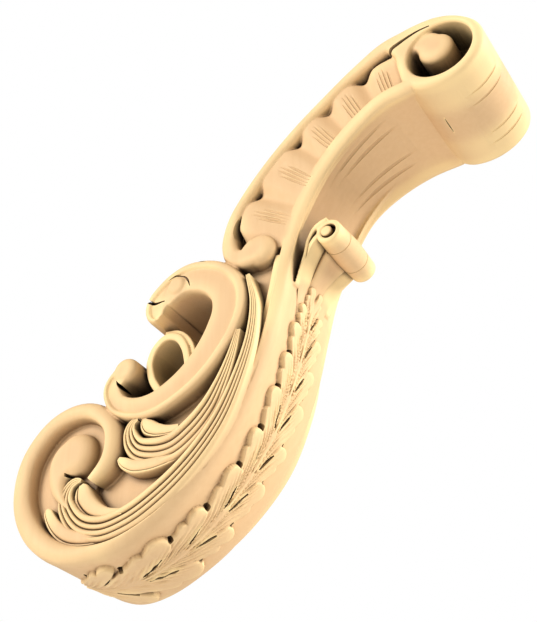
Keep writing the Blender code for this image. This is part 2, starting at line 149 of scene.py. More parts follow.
# Side leaves: middle line and half width, from the stem to the curled tip
LOWER_LEAF = [(194, 110, 1.5), (199, 85, 3), (197, 60, 4), (187, 29, 5.5), (171.5, -.5, 7),
              (151, -22.5, 8), (125, -40.5, 9), (100, -51, 9.3), (78, -53, 9.3), (61, -46.5, 9),
              (50.5, -35, 8.2), (46.3, -25, 7.2), (47.8, -17.5, 6), (52, -13.5, 4.3), (57, -12.7, 2.6),
              (60.5, -13.4, 1)]
LOWER_LEAF_LOBE = [(92, -57, 3, 5), (70, -57.5, 5, 1), (50, -51, 6, 0), (38.5, -41, 5.2, 0),
                   (33, -32.5, 4.2, 0), (31, -28.2, 3, .2), (30.5, -26.6, 1.2, .6)]
LOWER_LEAF_THUMB = [(98, -45.5, 2), (83, -43, 4.6), (72, -37.5, 7), (65, -30.5, 7.8), (61.4, -24.5, 8),
                    (60.6, -19.5, 6.6), (60.4, -17, 4.6), (60.4, -15.8, 2)]
UPPER_LEAF = [(187, 66, 2), (181, 46, 4), (173, 28, 6), (163, 12, 8.5), (150, 0, 10),
              (134, -8, 10.5), (117, -6.5, 10), (105, -.5, 8.5), (99.5, 8.5, 7), (99, 15.5, 5.3),
              (102, 19.8, 3.2), (106, 20.8, 1.2)]
UPPER_LEAF_LOBE = [(152, -10.5, 2.5, 5), (134, -15, 4.2, 1.5), (116, -16.3, 5, 0), (102, -13.3, 4.8, 0),
                   (93.5, -7.5, 3.4, 0), (90.5, -4.5, 1.4, .5)]
UPPER_LEAF_THUMB = [(140, 4, 3), (128, 6, 4.2), (119, 9.5, 5.6), (113.3, 13.8, 5.8), (111, 18, 3.6),
                    (110.8, 20.5, 1.2)]
LEAF_DEPTH = 3.5
LOBE_BELOW = 1.4                # how far a leaf's outer lobe lies below the leaf
THUMB_BELOW = 0.9               # the same for its inner one
# Bands and sharp grooves across a leaf: share of its half width, share of a flute's depth
BANDS = [(-1, 3.4), (-1, 1.7), (-.96, .8), (-.86, .2), (-.7, 0), (-.56, .2), (-.48, .8), (-.43, 1.7),
         (-.37, 1.05), (-.27, .6), (-.13, .6), (-.03, .95), (.03, 1.75), (.09, 1.1), (.2, .6), (.34, .6),
         (.44, 1.0), (.5, 1.9), (.56, 1.2), (.67, .9), (.8, 1.1), (.93, 1.6), (1, 2.4), (1, 3.4)]
DOMED = [(-1, 3.4), (-1, 1.8), (-.93, .8), (-.75, .2), (-.4, 0), (.1, .1), (.4, .4), (.55, 1.0), (.6, 1.6),
         (.67, 1.0), (.85, .9), (1, 1.8), (1, 3.4)]

ROLL = [(322, 240), (324.5, 227), (336, 214.5), (354.7, 211), (374, 217.5), (385.5, 231),
        (387.5, 245), (384, 257), (377, 266), (366, 274.5), (353.5, 279.5), (339, 280.8),
        (324, 279.6), (313, 277), (311, 270.5), (317, 263.5), (320.5, 255), (321, 247)]
HOLLOW = (354.7, 244, 25.0)
HOLLOW_DEPTH = 32.0
FLARE = 2.6
ROLL_ROUNDING = 4.5
# Comma left in the hollow: its domed end, then middle line, half width, depth below the side face
CURL_EYE = (350.7, 250.8, 13.4, 1.6, 5.5)
CURL_NECK = [(349, 253, 11, 2.2), (345, 259, 10.5, 2.4), (338, 263, 8.6, 2.6), (330, 262, 6.8, 2.6),
             (323, 258, 5.5, 2.6)]

SMALL_ROLL = (250, 136.5)
SMALL_ROLL_HALF = 28.0
# Barrel of the small roll: share of its half length, radius
SMALL_RADII = [(-1, 7.9), (-.985, 9.0), (-.95, 9.7), (-.7, 10.0), (-.45, 10.5), (0, 11.2), (.45, 10.5),
               (.7, 10.0), (.95, 9.7), (.985, 9.0), (1, 7.9)]
# Stem: middle line of each strip on the side plane, with its inner and outer y
STEM_STRIP = [(216.5, 84, 4.0, 14.5), (220.3, 99.9, 5.5, 18), (225.6, 113.2, 8, 22), (232.3, 123.5, 10.5, 25),
              (240, 131.5, 13.5, 27.5), (246, 136, 15, 27.5)]
STEM_THICK = 4.5
# Tongue between the strips, and the layer that curls up beside the roll: middle line, half width
STEM_TONGUE = [(214, 84, 4.0), (218.5, 99.9, 6.0), (225, 113.2, 8.5), (233.8, 124, 11), (243, 133, 14)]
STEM_LAYER = [(250.4, 146.2, 1.7), (241.5, 144.2, 1.9), (234.2, 136.5, 1.7), (230.3, 125.5, 1.2),
              (224.6, 113, .5), (220, 103, .3)]

# Point of the ribbon's edge from which the front leaf's runs are measured
CREST = (216.4, 88.6)
# Front leaf: run down the front from the crest to each main lobe's tip, and its reach from the midrib
LOBE_TIPS = [(-23, 9), (-6, 15), (11, 19), (35, 20), (61, 21), (92, 21), (120, 21.5), (155, 23), (186, 28),
             (227, 31), (253, 33)]
# Lobes of a group: share of the way to the next group and of its reach, half width, share of the height
LOBES = [(0, 1.0, .225, 1.0), (.43, .88, .155, .88), (.70, .72, .11, .76), (.93, .56, .04, .7)]
LOBE_HEIGHT = 3.9
LOBE_BED = 0.9                  # how far the leaf lies under the face between its lobes
LEAF_MIDDLE = 2.9               # how far the leaf rises beside its midrib
RIB_HEIGHT = 3.2
VEIN_HEIGHT = 0.45
LOBE_SWEEP = 1.7
LOBE_ROOT = 1.5
LEAF_RUNS = (-34.0, 268.0)
LEAF_HALF = 36.0

# Grooves down the concave front: x at the upper and lower end, y at both
FLUTES = [(306, 237, 27, 17.5), (311, 241, 16, 11)]
FLUTE_LIFT = 0.7
# Grooves round the top roll: y of each, first and last turn in degrees
ROLL_GROOVES = [(-22.5, -4, -88), (-12.5, -8, -92), (19, -6, -90), (29, -10, -94)]
# Short cut across the front where the roll starts: x, z, y at both ends
ROLL_CUT = (340.0, 213.0, -13, 6)
# Slits in the side carving: points with half widths, depth of the face, depth of the cut
SLITS = [
    ([(107.1, 124, .2), (108.5, 119, 1.4), (113.8, 115.4, 1.3), (123.6, 113.6, .5)], 2.5, 8.0),
    ([(123.5, 134, .2), (128, 138.4, .8), (136, 141.6, 1), (145, 141, .9), (158.4, 135.9, .2)], 3.4, 2.6),
    ([(84.6, 58.2, .2), (87, 54, 1.2), (91.5, 50, 2), (98, 47, 2)], 2.0, 14.0),
    ([(187, 168, .3), (184.4, 161, 1.7), (183, 152, 2), (184, 145, 1), (184.3, 142, .3)], 4.5, 10.0),
    ([(61.8, -15.9, .3), (56.2, -17.4, .9), (53.6, -25.5, .2)], 3.5, 6.0),
    ([(108, 20.8, .3), (105.6, 16.5, .8), (106.6, 10.3, .2)], 3.5, 6.0),
    ([(45.5, -5.4, 1.1), (50, -7.2, 1.0), (55.5, -8, .3)], 4.5, 6.0),
    ([(126, 131.2, .1), (133, 133, .5), (139.5, 130, .8), (144, 123.5, .7), (145.5, 118.5, .2)], 2.4, 1.9),
    ([(311, 262.5, .5), (320, 265.2, 1.9), (330, 268.3, 1.5), (340, 270.5, 1.0), (350, 270.7, .5)], 1.5, 11.0),
]
# Share of the groove size that each kind of groove has, in the order they are cut
GROOVE_SHARES = (1.5, .95, .8, .4)


def srgb(code):
    """Linear colour of an sRGB hex code."""
    parts = [int(code[k:k + 2], 16) / 255 for k in (1, 3, 5)]
    return tuple(c / 12.92 if c <= 0.04045 else ((c + 0.055) / 1.055) ** 2.4 for c in parts)


class CorbelSizes(bpy.types.PropertyGroup):
    """Sizes of the carving that a user may change."""

    grain: FloatProperty(name="Tool step", description="Finest step of the soft carving",
                         default=0.0007, min=0.0005, unit="LENGTH")
    softening: IntProperty(name="Sanding", description="How often the soft carving is smoothed",
                           default=3, min=0)
    flute: FloatProperty(name="Leaf flutes", description="Depth of the side leaves' flutes",
                         default=0.0020, unit="LENGTH")
    fold: FloatProperty(name="Panel folds", description="Ridge to valley of the panel's folds",
                        default=0.0056, unit="LENGTH")
    groove: FloatProperty(name="Grooves", description="Half width of the gouged grooves",
                          default=0.0014, unit="LENGTH")
    triangles: IntProperty(name="Triangles", description="Most triangles that the finished piece keeps",
                           default=190000, min=10000, max=199000)


class CorbelFinish(bpy.types.PropertyGroup):
    """Colours and grain of the wood, and the colours of its painted highlight and painted shade."""

    wood: FloatVectorProperty(name="Wood", description="Pale sanded wood", subtype="COLOR",
                              default=srgb("#E9C291"), min=0, max=1)
    late: FloatVectorProperty(name="Late wood", description="Darker bands of the grain", subtype="COLOR",
                              default=srgb("#E0B685"), min=0, max=1)
    # Painted highlight: a paler colour put on ridges, where light catches them
    edges: FloatVectorProperty(name="Edges", description="Ridges that sanding has left paler",
                               subtype="COLOR", default=srgb("#FFDDA0"), min=0, max=1)
    # Painted shade: brown put into fine lines and creases, where shade falls
    painted_line_shade: FloatVectorProperty(name="Lines", description="Brown wax that stays in fine lines", subtype="COLOR",
                             default=srgb("#7A5230"), min=0, max=1)
    # Painted shade: near-black put into deep recesses, where shade falls
    painted_recess_shade: FloatVectorProperty(name="Recesses", description="Wax and dust that darken deep recesses",
                                subtype="COLOR", default=srgb("#1A0F07"), min=0, max=1)
    spacing: FloatProperty(name="Grain spacing", description="Across the grain from one band to the next",
                           default=0.004, unit="LENGTH")
    paleness: FloatProperty(name="Floor", description="Paleness of the floor", default=0.86,
                            min=0, max=1, subtype="FACTOR")


def sizes():
    """The carving's sizes in this scene."""
    return bpy.context.scene.corbel_sizes


def smooth(points, count):
    """Evenly spaced samples of a smooth curve through a few points."""
    pts = np.array(points, float)
    knots = np.concatenate(([0.0], np.cumsum(np.linalg.norm(np.diff(pts[:, :2], axis=0), axis=1))))
    slopes = np.gradient(pts, knots, axis=0)
    where = np.linspace(0.0, knots[-1], count * 6)
    low = np.clip(np.searchsorted(knots, where, side="right") - 1, 0, len(knots) - 2)
    span = (knots[low + 1] - knots[low])[:, None]
    t = (where - knots[low])[:, None] / span
    curve = (pts[low] * (2 * t**3 - 3 * t**2 + 1) + pts[low + 1] * (3 * t**2 - 2 * t**3)
             + slopes[low] * span * (t**3 - 2 * t**2 + t) + slopes[low + 1] * span * (t**3 - t**2))
    steps = np.linalg.norm(np.diff(curve[:, :2], axis=0), axis=1)
    run = np.concatenate(([0.0], np.cumsum(steps)))
    even = np.linspace(0.0, run[-1], count)
    return np.column_stack([np.interp(even, run, column) for column in curve.T])


def lefts(path):
    """Unit normals in the side plane, to the left of the way a path runs."""
    along = np.gradient(path[:, :2], axis=0)
    along /= np.linalg.norm(along, axis=1)[:, None]
    return np.column_stack([-along[:, 1], along[:, 0]])


def drawn(path, across=0.0):
    """Plain points of a path, moved across it by a share of its width."""
    return [tuple(p) for p in path[:, :2] + lefts(path) * path[:, 2:3] * across]


def circle(x, z, radius, count):
    """Points round a circle on the side plane."""
    turns = [2 * math.pi * k / count for k in range(count)]
    return [(x + radius * math.cos(a), z + radius * math.sin(a)) for a in turns]


def eased(value, ends):
    """Share from 0 to 1 of the way between two ends, eased; takes numbers and arrays."""
    share = np.clip((np.asarray(value, float) - ends[0]) / (ends[1] - ends[0]), 0.0, 1.0)
    return share * share * (3 - 2 * share)


def group(name):
    """The collection that holds one kind of form, made when first asked for."""
    found = bpy.data.collections.get(name)
    if found is None:
        found = bpy.data.collections.new(name)
        bpy.context.scene.collection.children.link(found)
    return found


def mesh_object(verts, faces, where):
    """A mesh object of millimetre points, in one of the groups of forms."""
    data = bpy.data.meshes.new("form")
    data.from_pydata((np.asarray(verts, float) * MM).tolist(), [], faces)
    made = bpy.data.objects.new("form", data)
    group(where).objects.link(made)
    return made


def loft(sections, where):
    """Closed mesh through a row of like rings, with its faces pointing out."""
    rings = np.array(sections, float)
    verts = rings.reshape(-1, 3)
    index = np.arange(len(verts)).reshape(rings.shape[:2])
    after = np.roll(index, -1, axis=1)
    quads = np.stack([index[:-1], after[:-1], after[1:], index[1:]], axis=-1).reshape(-1, 4)
    faces = quads.tolist() + [index[0][::-1].tolist(), index[-1].tolist()]
    corners = verts[quads]
    volume = np.einsum("ij,ij->i", corners[:, 0], np.cross(corners[:, 1], corners[:, 2])).sum()
    volume += np.einsum("ij,ij->i", corners[:, 0], np.cross(corners[:, 2], corners[:, 3])).sum()
    for cap in (faces[-2], faces[-1]):
        fan = verts[cap]
        volume += np.einsum("j,ij->i", fan[0], np.cross(fan[1:-1], fan[2:])).sum()
    if volume < 0:
        faces = [face[::-1] for face in faces]
    return mesh_object(verts, faces, where)


def both_sides(sections, where):
    """A solid near the -Y side and its mirror image on the other side."""
    rings = np.array(sections, float)
    return [loft(rings, where), loft(rings * (1, -1, 1), where)]


def across(row, left, ring):
    """Places a ring of (mm across, y) pairs on a path."""
    return [(row[0] + left[0] * a, y, row[1] + left[1] * a) for a, y in ring]


def round_top(half_width, top, rounding, steps):
    """Upper outline of a rounded bar: pairs of mm across and y."""
    reach = min(rounding, half_width)
    angles = [math.pi / 2 * k / steps for k in range(steps + 1)]
    side = [(half_width - reach + reach * math.cos(a), top - rounding * (1 - math.sin(a))) for a in angles]
    return [(-a, y) for a, y in side] + side[::-1]


def bar(points, count, depth, rounding, where, through=False, profile=None):
    """Bar that follows a path on each side, or through the whole width."""
    path = smooth(points, count)
    made = []
    for row, left in zip(path, lefts(path)):
        top = HALF - depth - (row[3] if len(row) > 3 else 0.0)
        if profile is None:
            upper = round_top(row[2], top, rounding, 6)
        else:
            upper = [(share * row[2], top - drop * min(1.0, row[2] / 8.0) ** 1.6) for share, drop in profile]
        if through:
            ring = [(a, -y) for a, y in upper] + [(a, y) for a, y in upper[::-1]]
        else:
            ring = [(-row[2], -ROOT)] + [(a, -y) for a, y in upper] + [(row[2], -ROOT)]
        made.append(across(row, left, ring))
    return [loft(made, where)] if through else both_sides(made, where)


def boss(x, z, radius, depth, rise, where, foot=None, rim=.16):
    """Round domed boss on each side: it falls away in a round towards its edge."""
    foot = ROOT if foot is None else foot
    rows = [(radius, foot)]
    for k in range(9):
        angle = math.pi / 2 * k / 8
        share = rim + (1 - rim) * math.cos(angle) ** .62
        rows.append((radius * share, HALF - depth - rise * (1 - math.sin(angle))))
    return both_sides([[(a, -y, b) for a, b in circle(x, z, r, 40)] for r, y in rows], where)


def plate(outline, half, rounding, where, steps=1):
    """Full-width plate of a side outline with rounded side edges."""
    ring = np.array(outline, float)
    closed = np.vstack([ring[-1:], ring, ring[:1]])
    inward = lefts(closed)[1:-1]
    area = np.sum(ring[:, 0] * np.roll(ring[:, 1], -1) - np.roll(ring[:, 0], -1) * ring[:, 1])
    angles = [math.pi / 2 * (1 - k / steps) for k in range(steps + 1)]
    rows = [(half - rounding * (1 - math.sin(a)), rounding * (1 - math.cos(a))) for a in angles]
    levels = [(-y, inset) for y, inset in rows] + [(y, inset) for y, inset in rows[::-1]]
    return [loft([[(x, y, z) for x, z in ring + inward * math.copysign(inset, area)]
                  for y, inset in levels], where)]


def block(low, high, where):
    """Plain block between two corners, in millimetres."""
    xs, ys, zs = zip(low, high)
    corners = [(xs[0], zs[0]), (xs[1], zs[0]), (xs[1], zs[1]), (xs[0], zs[1])]
    return loft([[(x, y, z) for x, z in corners] for y in ys], where)


def plain(body):
    """Turns an object's evaluated shape, live modifiers and all, into its own plain mesh."""
    bpy.context.view_layer.update()
    made = bpy.data.meshes.new_from_object(body.evaluated_get(bpy.context.evaluated_depsgraph_get()))
    body.modifiers.clear()
    body.data = made
    return body


def joined(objects):
    """One object from several; their closed shells stay as they are."""
    with bpy.context.temp_override(active_object=objects[0], selected_editable_objects=objects):
        bpy.ops.object.join()
    return objects[0]


def boolean(body, pieces, operation):
    """Boolean of each piece with the body, applied; the pieces are used up."""
    for piece in pieces:
        step = body.modifiers.new(operation.title(), "BOOLEAN")
        step.operation = operation
        step.solver = "MANIFOLD"
        step.object = piece
    plain(body)
    for piece in pieces:
        bpy.data.objects.remove(piece)
    return body


def ribbon_half(row):
    """Half section of the ribbon at one place of its path: mm across and y."""
    fill = eased(row[1], DISH_ENDS)
    rim = eased(row[0], RIM_STARTS) if row[1] < DISH_ENDS[1] else 0.0
    shape = np.array(DISHED) * (1 - fill) + np.array(BELLIED) * fill
    shape = shape * (1 - rim) + np.array(RIMMED) * rim
    sunk = row[3] * (1 - shape[:, 1] / BELLIED[-1][1])
    return smooth(np.column_stack([shape[:, 0] * row[2], HALF - shape[:, 1] - sunk]), 30)


def ribbon_path(count=220):
    """The ribbon's inner edge, from the top roll down and round the volute."""
    return smooth(FRONT + VOLUTE_RIM, count)


def carve_ribbon():
    """The ribbon and the ground under the side carving."""
    path = ribbon_path()
    made = []
    for row, left in zip(path, lefts(path)):
        near = ribbon_half(row)
        ring = [(a, -y) for a, y in near] + [(a, y) for a, y in near[::-1]]
        made.append(across(row, left, ring))
    loft(made, "soft")
    outline = drawn(smooth(FRONT, 60), 0.35)
    outline += drawn(smooth(VOLUTE_RIM, 24), 0.5)[:14]
    outline += drawn(smooth(SCROLL, 72))[9:50]
    outline += drawn(smooth(BACK_RIM, 48))[6:46]
    plate(outline + [(322, 262), (322, 240)], GROUND, 0.3, "soft")


def carve_volute():
    """Floor of the lower volute and the domed comma in it."""
    floor = drawn(smooth(FRONT[-1:] + VOLUTE_RIM, 36), 0.5) + [(66, -40)]
    plate(floor, HALF - VOLUTE_FLOOR, 0.3, "soft")
    boss(*VOLUTE_EYE, "soft")
    bar(VOLUTE_NECK, 30, 0.0, VOLUTE_NECK_ROUNDING, "soft")


def carve_scroll():
    """The open scroll through the width, its end boss and curl, and the loop in it."""
    profile = [tuple(p) for p in smooth(SCROLL_PROFILE, 34)]
    bar(SCROLL, 110, SCROLL_DEPTH, 0, "soft", through=True, profile=profile)
    boss(*SCROLL_EYE, "soft", foot=0.0)
    boss(*SCROLL_CURL, "soft", foot=0.0)
    bar(LOOP, 44, LOOP_DEPTH, LOOP_ROUNDING, "soft", through=True)
    bar(LOOP_LIP, 24, LOOP_LIP_DEPTH, LOOP_LIP_ROUNDING, "soft", through=True)


def carve_back_rim():
    """The rim along the back edge with its curled foot."""
    bar(BACK_RIM, 90, RIM_DEPTH, RIM_ROUNDING, "soft")
    boss(*RIM_EYE, "soft")


def panel_point(line, share):
    """Point and depth of the panel at a share across, for a (far, near, wave) line."""
    far, near, wave = line
    x, z = near + (far - near) * share
    depth = PANEL_DEPTH + PANEL_SLOPE * (1 - share) + 1.6 * float(eased(share, (.9, 1.02)))
    depth += sizes().fold / MM * (0.5 - 0.5 * wave) * (0.3 + 0.7 * share)
    return x, z, depth


def panel_lines(count=121):
    """Lines across the panel, from its far edge to the ribbon, with the fold's wave at each."""
    outer, inner = smooth(PANEL_OUTER, count), smooth(PANEL_INNER, count)
    lines = []
    for k, (far, near) in enumerate(zip(outer, inner)):
        dip = max(math.exp(-((k / (count - 1) - valley) / FOLD_SHARPNESS) ** 2) for valley in FOLD_VALLEYS)
        away = (near - far) / np.linalg.norm(near - far)
        lines.append((far + away * (1.2 + 4.6 * dip), near, 1 - 2 * dip))
    return lines


def carve_panel():
    """Gathered panel between the back rim and the ribbon, in soft folds."""
    made = []
    for line in panel_lines():
        ring = []
        for share in np.linspace(0, 1, 14):
            x, z, depth = panel_point(line, share)
            ring.append((x, -(HALF - depth), z))
        ring += [(line[0][0], -ROOT, line[0][1]), (line[1][0], -ROOT, line[1][1])]
        made.append(ring)
    both_sides(made, "soft")


def carve_top_roll():
    """The roll at the top, hollowed at each end round a domed comma."""
    roll = plate([tuple(p) for p in smooth(ROLL + ROLL[:1], 121)[:-1]], HALF, ROLL_ROUNDING, "work", 6)[0]
    x, z, radius = HOLLOW
    rows = [(radius, HALF - HOLLOW_DEPTH)]
    for k in range(9):
        angle = math.pi / 2 * k / 8
        rows.append((radius + FLARE * (1 - math.cos(angle)), HALF - FLARE * (1 - math.sin(angle))))
    rows.append((radius + FLARE, HALF + 10.0))
    cutters = both_sides([[(a, -y, b) for a, b in circle(x, z, r, 64)] for r, y in rows], "work")
    boolean(roll, cutters, "DIFFERENCE")
    group("work").objects.unlink(roll)
    group("soft").objects.link(roll)
    foot = HALF - HOLLOW_DEPTH - 2.0
    boss(*CURL_EYE, "soft", foot=foot)
    path = smooth(CURL_NECK, 20)
    made = []
    for row, left in zip(path, lefts(path)):
        upper = round_top(row[2], HALF - row[3], ROLL_ROUNDING, 6)
        ring = [(-row[2], -foot)] + [(a, -y) for a, y in upper] + [(row[2], -foot)]
        made.append(across(row, left, ring))
    both_sides(made, "soft")


def blade(points, count, profile, depth, where="crisp"):
    """Blade of a side leaf on each side, with a banded or domed section."""
    flute = sizes().flute / MM
    scaled = [(share, drop * flute) for share, drop in profile]
    return bar(points, count, depth, 0, where, profile=scaled)


def carve_side_leaves():
    """The two long leaves between the volute, the scroll and the ribbon."""
    for leaf, lobe, thumb in ((LOWER_LEAF, LOWER_LEAF_LOBE, LOWER_LEAF_THUMB),
                              (UPPER_LEAF, UPPER_LEAF_LOBE, UPPER_LEAF_THUMB)):
        blade(leaf, 110, BANDS, LEAF_DEPTH)
        blade(lobe, 40, DOMED, LEAF_DEPTH + LOBE_BELOW)
        blade(thumb, 40, DOMED, LEAF_DEPTH + THUMB_BELOW)


def front_face():
    """The front's face: the ribbon's inner edge, its outward normals, the run to each
    point, and how far the face stands out from that edge at evenly spaced y."""
    path = ribbon_path(400)
    line, out = np.array(drawn(path, 1.0)), lefts(path)
    run = np.concatenate(([0.0], np.cumsum(np.linalg.norm(np.diff(line, axis=0), axis=1))))
    crest = np.argmin(np.linalg.norm(line - CREST, axis=1))
    ys = np.linspace(0.0, HALF, 120)
    reach = []
    for row in path:
        near = ribbon_half(row)
        face = near[np.argmax(near[:, 1]):][::-1]
        reach.append(np.interp(ys, face[:, 1], face[:, 0]))
    return path[:, :2], out, run - run[crest], np.array(reach)


def on_front(front, run, y, lift):
    """Points of the front at runs down the leaf, at y, lifted off the face."""
    edge, out, runs, reach = front
    run, y = np.broadcast_arrays(np.asarray(run, float), np.asarray(y, float))
    rows = np.interp(run, runs, np.arange(len(runs)))
    columns = np.abs(y) / HALF * (reach.shape[1] - 1)
    low = np.clip(rows.astype(int), 0, len(runs) - 2)
    near = np.clip(columns.astype(int), 0, reach.shape[1] - 2)
    down, over = rows - low, columns - near
    stands = ((reach[low, near] * (1 - over) + reach[low, near + 1] * over) * (1 - down)
              + (reach[low + 1, near] * (1 - over) + reach[low + 1, near + 1] * over) * down + lift)
    x, z, nx, nz = (np.interp(run, runs, values) for values in (*edge.T, *out.T))
    return np.stack([x + nx * stands, y, z + nz * stands], axis=-1)


def lobe_line(k, lobe):
    """Middle line of a front lobe, from its tip to its root on the midrib, with its radii."""
    start, reach, width, height = lobe
    run, full = LOBE_TIPS[k]
    ahead, next_full = LOBE_TIPS[k + 1]
    space = ahead - run
    tip = run + start * space
    out = (full + (next_full - full) * start) * reach
    radius = max(width * space, 0.9)
    share = np.linspace(0.0, 1.0, 44)
    runs = tip + radius * 0.8 + LOBE_ROOT * space * share
    ys = 1.2 + (out - radius - 1.2) * (1 - share) ** LOBE_SWEEP
    return runs, ys, radius * (1 - 0.6 * share), share, height


def leaf_height(run, y):
    """Height of the front leaf over the front's face, for grids of run and |y|."""
    high = np.full(run.shape, -LOBE_BED)
    for k in range(len(LOBE_TIPS) - 1):
        for lobe in LOBES:
            runs, ys, radii, share, height = lobe_line(k, lobe)
            near = ((run > runs[0] - radii[0] - 2) & (run < runs[-1] + 2) & (y < ys[0] + radii[0] + 2))
            r, a = run[near][:, None], y[near][:, None]
            middle = np.hypot(r - runs, a - ys)
            which = np.argmin(middle - radii, axis=1)
            pick = np.arange(len(which))
            inside = radii[which] - middle[pick, which]
            along = share[which]
            shoulder = np.sqrt(1 - (1 - np.clip(inside / 1.4, 0, 1)) ** 2)
            top = LOBE_HEIGHT * height * (1 - 0.45 * along) + 1.6 * eased(r[:, 0], (-8, -22))
            centre = middle[pick, which] / radii[which]
            top = top - 1.0 * np.exp(-(centre / .36) ** 2) * eased(along, (.06, .3)) * (1 - along)
            lifted = np.where(inside > 0, shoulder * top, -LOBE_BED * np.clip(-inside, 0, 1))
            high[near] = np.maximum(high[near], lifted)
    return high


def flow_lines(run, y):
    """Label of the lobe line that passes through each point, in groups, for the fine veins."""
    tips = np.array(LOBE_TIPS, float)
    space = np.interp(run, tips[:-1, 0], np.diff(tips[:, 0]))
    full = np.interp(run, tips[:, 0], tips[:, 1])
    share = 1 - np.clip((y - 1.2) / (full - 1.2), 0.001, 1.2) ** (1 / LOBE_SWEEP)
    source = run - LOBE_ROOT * space * share
    return np.interp(source, tips[:, 0], np.arange(len(tips))), share


def carve_front_leaf():
    """Leaf up the front: groups of lobes that sweep in to a midrib."""
    front = front_face()
    step = 0.65
    runs = np.arange(LEAF_RUNS[0], LEAF_RUNS[1], step)
    ys = np.arange(-LEAF_HALF, LEAF_HALF + 0.1, step)
    run, y = np.meshgrid(runs, ys, indexing="ij")
    high = leaf_height(run, np.abs(y))
    label, share = flow_lines(run, np.abs(y))
    filled = eased(share, (.3, .4)) * eased(run, (LEAF_RUNS[0] + 2, -14)) * eased(run, (266, 250))
    high = np.maximum(high, LEAF_MIDDLE * filled - LOBE_BED)
    veins = VEIN_HEIGHT * np.cos(2 * math.pi * label * 5) * (high > 0.6)
    veins = veins * eased(share, (.2, .45)) * eased(share, (.95, .75))
    rib = RIB_HEIGHT * eased(np.abs(y), (2.0, 0.8)) * eased(run, (LEAF_RUNS[0] + 4, -12))
    top = np.maximum(high + veins, rib)
    upper = on_front(front, run, y, top)
    under = on_front(front, run, y, -7.0)
    loft(np.concatenate([upper, under[:, ::-1]], axis=1), "crisp")


def front_cut(front, points, where):
    """Narrow deep cut in the front along (run, y, half width) points, on both sides."""
    path = np.array(points, float)
    along = np.gradient(path[:, :2], axis=0)
    side = np.column_stack([-along[:, 1], along[:, 0]]) / np.linalg.norm(along, axis=1)[:, None]
    made = []
    for (run, y, half), (sr, sy) in zip(path, side):
        ring = [(-1, 8.0), (1, 8.0), (1, -0.5), (.5, -2.0), (-.5, -2.0), (-1, -0.5)]
        made.append([on_front(front, run + sr * half * t, y + sy * half * t, lift) for t, lift in ring])
    return both_sides(made, where)


def cut_front_leaf():
    """Dark slits beside the main lobes and pits between the groups of the front leaf."""
    front = front_face()
    for k in range(1, len(LOBE_TIPS) - 1):
        space = LOBE_TIPS[k + 1][0] - LOBE_TIPS[k][0]
        size = min(space / 31.0, 1.1)
        runs, ys, radii, share, _ = lobe_line(k, LOBES[0])
        rows = []
        for t in np.linspace(0.16, 0.46, 9):
            r, a, w = (np.interp(t, share, v) for v in (runs, ys, radii))
            bulge = math.sin(math.pi * (t - 0.13) / 0.36)
            rows.append((r - (w + 0.5) * .62, a - (w + 0.5) * .5, (0.25 + 0.65 * bulge) * size))
        front_cut(front, rows, "slits")
        runs, ys, radii, share, _ = lobe_line(k, LOBES[2])
        r, a, w = runs[0], ys[0] + radii[0] * 0.5, radii[0]
        pit = [(r + w * .8 + 3.6 * size * t, a + (2.2 - 4.4 * t) * size,
                (.3 + 1.7 * math.sin(math.pi * min(.15 + t, 1))) * size) for t in np.linspace(0, .85, 7)]
        front_cut(front, pit, "pits")


def carve_small_roll():
    """Small barrel roll on the front, with the layered stem that carries it."""
    x, z = SMALL_ROLL
    loft([[(a, share * SMALL_ROLL_HALF, b) for a, b in circle(x, z, r, 48)] for share, r in SMALL_RADII],
         "soft")
    strips, tongue = [], []
    strip = smooth(STEM_STRIP, 30)
    for (a, b, inner, outer), (ox, oz) in zip(strip, -lefts(strip)):
        face = [(-STEM_THICK, outer - .6), (-.9, outer), (-.2, outer - 1.2), (0, (inner + outer) / 2),
                (-.5, inner + 1), (-1.2, inner - 1), (-STEM_THICK, inner - 1)]
        strips.append([(a + ox * t, -y, b + oz * t) for t, y in face])
    both_sides(strips, "crisp")
    middle = smooth(STEM_TONGUE, 30)
    for (a, b, half), (ox, oz) in zip(middle, -lefts(middle)):
        near = [(-16, half), (0, half), (.9, half - 1.0), (1.6, half - 3.2), (1.9, 0)]
        ring = [(a + ox * t, -y, b + oz * t) for t, y in near]
        tongue.append(ring + [(p, -q, r) for p, q, r in ring[-2::-1]])
    loft(tongue, "crisp")
    layer = smooth(STEM_LAYER, 30)
    made = []
    for k, ((a, b, half), (lx, lz)) in enumerate(zip(layer, lefts(layer))):
        y = SMALL_ROLL_HALF + 1.0 - 5.5 * k / len(layer)
        made.append([(a + lx * half * s, -y - t, b + lz * half * s) for s, t in
                     ((-1, 0), (-.5, .6), (.5, .6), (1, 0), (1, -9), (-1, -9))])
    both_sides(made, "soft")


def slit(points, depth, deep, where):
    """Narrow tapered cut into both side faces along (x, z, half width) points."""
    path = smooth(points, 24)
    made = []
    for row, left in zip(path, lefts(path)):
        y = HALF - depth
        ring = [(-row[2], -y - 4), (row[2], -y - 4), (row[2], -y + .3), (row[2] * .25, -y + deep),
                (-row[2] * .25, -y + deep), (-row[2], -y + .3)]
        made.append(across(row, left, ring))
    return both_sides(made, where)


